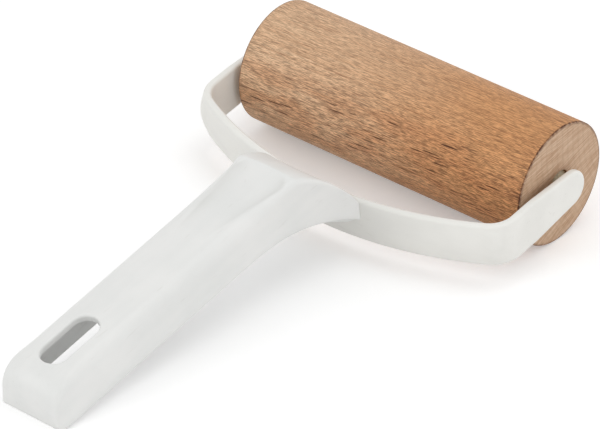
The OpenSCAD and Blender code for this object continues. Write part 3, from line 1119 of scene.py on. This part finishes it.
def spine(d, x):
    """The nearest point of the slot's middle line, the direction from it and the distance."""
    q = min(max(d, slot_near), slot_far)
    gap = math.hypot(d - q, x)
    return q, (d - q) / gap, x / gap, gap


def slot_rings(grid, depth, lip, sign):
    """Rings from the grid's border to the slot's wall."""
    spokes = []
    for i, j in border:
        x, y, z = points[grid(i, j)]
        spokes.append(spine(-y, x))
    rings = []
    for t in (0.4, 0.75, 1.0):
        ring = []
        for q, ud, ux, gap in spokes:
            reach = gap + (SLOT_R + lip - gap) * t
            ring.append((ux * reach, -(q + ud * reach), slot_height(q + ud * reach, ux * reach, depth)))
        rings.append(ring)
    brink = [z for x, y, z in rings[-1]]
    for f in np.radians((22.5, 45, 67.5, 90)):
        reach = SLOT_R + lip * (1 - math.sin(f))
        fall = sign * lip * (1 - math.cos(f))
        ring = []
        for (q, ud, ux, gap), z in zip(spokes, brink):
            ring.append((ux * reach, -(q + ud * reach), z - fall))
        rings.append(ring)
    return rings


down = slot_rings(out, 0.0, OUTER_LIP, 1) + slot_rings(inn, WALL, INNER_LIP, -1)[::-1]
chain = [[out(i, j) for i, j in border]]
for ring in down:
    chain.append(list(range(len(points), len(points) + len(ring))))
    points += ring
chain.append([inn(i, j) for i, j in border])
faces += loft(chain)
print(len(down), "rings of", len(border), "points")

# %% The shell and its creases


def crease_shade_at(x, d):
    """How strong the painted shade in the thumb rest's creases is, which differs from left to right."""
    part = abs(x) / fold(d)
    past = 1 - step(part, 0.98, 0.16)
    if x < 0:
        return min(1.0, part) ** 3 * past * step(d, RIM, 4) * (1 - step(d, RIM + 18, 22))
    return min(1.0, part) ** 5 * past * step(d, RIM, 3) * (1 - step(d, RIM + 4, 34))


handle_shell = plain_piece("handle_shell", at_rest(points), faces, handle_white)
# Painted shade for the thumb rest's creases, kept on the outer skin's points; the plastic recipe darkens
# its white by it.
creases = [0.0] * len(points)
for k, (x, y, z) in enumerate(points[:base]):
    if z > LOW + 8:
        creases[k] = crease_shade_at(x, -y)
marks = handle_shell.data.attributes.new("crease", "FLOAT", "POINT")
marks.data.foreach_set("value", creases)
tidy(handle_shell)
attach(handle_shell, "frame")
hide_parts("handle")

# %% [markdown]
# Below, three thin ribs cross the hollow and stiffen the grip. Each is a slice of the handle's own section,
# so it meets the walls everywhere. The slices are drawn as flat faces, and a tree gives them a thickness:
# it pushes the faces out, turns the first ones over to close the back, and merges the edges.

# %% Ribs in the hollow
RIB_T = 1.6
RIB_UP = 3.0
RIB_FIRST = 84.0
RIB_GAP = 18.6
rib_in = WALL * 0.6
rib_points = []
rib_faces = []
for number in range(3):
    d = RIB_FIRST + RIB_GAP * number
    cut_z = low_z(d) + RIB_UP
    loop = full_loop(half_loop(d, TOP - rib_in, rib_in, True))
    kept = [(x, z) for x, z in loop if z > cut_z]
    kept = [(kept[0][0], cut_z)] + kept + [(kept[-1][0], cut_z)]
    first_point = len(rib_points)
    rib_points += [(x, RIB_T / 2 - d, z) for x, z in kept]
    rib_faces.append(tuple(range(first_point, len(rib_points))))
rib_slices = bpy.data.meshes.new("handle_ribs")
rib_slices.from_pydata([tuple(p) for p in at_rest(rib_points)], [], rib_faces)
ports = new_tree("ribs", {"Thickness": "Float", "Finish": "Material"})
plates = ports["Outline"].make("GeometryNodeExtrudeMesh", {"mode": "FACES"},
                               {"Mesh": ports["Outline"], "Offset Scale": ports["Thickness"]})
backs = plates.make("GeometryNodeFlipFaces", {}, {"Mesh": ports["Outline"]})
plates = plates.make("GeometryNodeJoinGeometry", {}, {"Geometry": [plates, backs]})
plates = plates.make("GeometryNodeMergeByDistance", {}, {"Geometry": plates, "Distance": SAME_PLACE})
rib_tree = close_tree(plates, ports["Finish"])
handle_ribs = grow("handle_ribs", rib_tree, rib_slices, {"Thickness": RIB_T * MM, "Finish": handle_white})
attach(handle_ribs, "frame")
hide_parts("handle")

# %% [markdown]
# Behind the yoke two round bosses take the screws. They are tubes at the same two places as the holes, so
# the pair tree makes them. The screws get a tree of their own: a turned countersunk body, a cross cut into
# the head by two bars, and a thread, which is a small triangle carried along a spiral.

# %% Bosses
BOSS_BORE = 1.51
BOSS_R = 3.3
BOSS_FOOT = 2.7
BOSS_END = 8.4
tube = outline("screw_bosses", [(BOSS_BORE, BOSS_FOOT, 0), (BOSS_R, BOSS_FOOT, 0), (BOSS_R, BOSS_END, 0.3),
                                (BOSS_BORE, BOSS_END, 0.2)])
screw_bosses = grow("screw_bosses", pair_tree, tube, {**pair_sizes, "Finish": handle_white})
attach(screw_bosses, "frame")
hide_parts("handle")

# %% Screws
HEAD_R = 2.8
CORE_R = 1.2
SCREW_L = 7.9
RIDGE_R = 1.26 * MM
bar_sizes = [(2 * MM, 3 * MM, 0.8 * MM), (1.8 * MM, 0.78 * MM, 2.98 * MM)]
ports = new_tree("screw_pair", {**PAIR_INPUTS, "Turns": "Float"})
single = turned_one(ports)
bars = [single.make("GeometryNodeMeshCube", {}, {"Size": size}) for size in bar_sizes]
body_cut = single.make("GeometryNodeMeshBoolean", {"operation": "DIFFERENCE"},
                       {"Mesh 1": single, "Mesh 2": bars})
spiral = single.make("GeometryNodeCurveSpiral", {},
                     {"Resolution": 20, "Rotations": ports["Turns"], "Start Radius": RIDGE_R,
                      "End Radius": RIDGE_R, "Height": 4.2 * MM})
triangle = single.make("GeometryNodeCurvePrimitiveCircle", {"mode": "RADIUS"},
                       {"Resolution": 3, "Radius": 0.22 * MM})
ridge = single.make("GeometryNodeCurveToMesh", {},
                    {"Curve": spiral, "Profile Curve": triangle, "Fill Caps": True})
ridge = moved(ridge, (2.3 * MM, 0, 0), ALONG_X)
whole = single.make("GeometryNodeJoinGeometry", {}, {"Geometry": [body_cut, ridge]})
screw_tree = close_tree(in_pairs(whole, ports), ports["Finish"])
profile = outline("countersunk_screws", [
    (0, 0, 0), (HEAD_R, 0, 0.1), (HEAD_R, 0.25, 0), (CORE_R, 1.85, 0.3), (CORE_R, 6.4, 0),
    (0.3, SCREW_L, 0.1), (0, SCREW_L, 0)], False)
screws = grow("countersunk_screws", screw_tree, profile, {**pair_sizes, "Finish": zinc, "Turns": 4.2})
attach(screws, "frame")
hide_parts("yoke_screws")
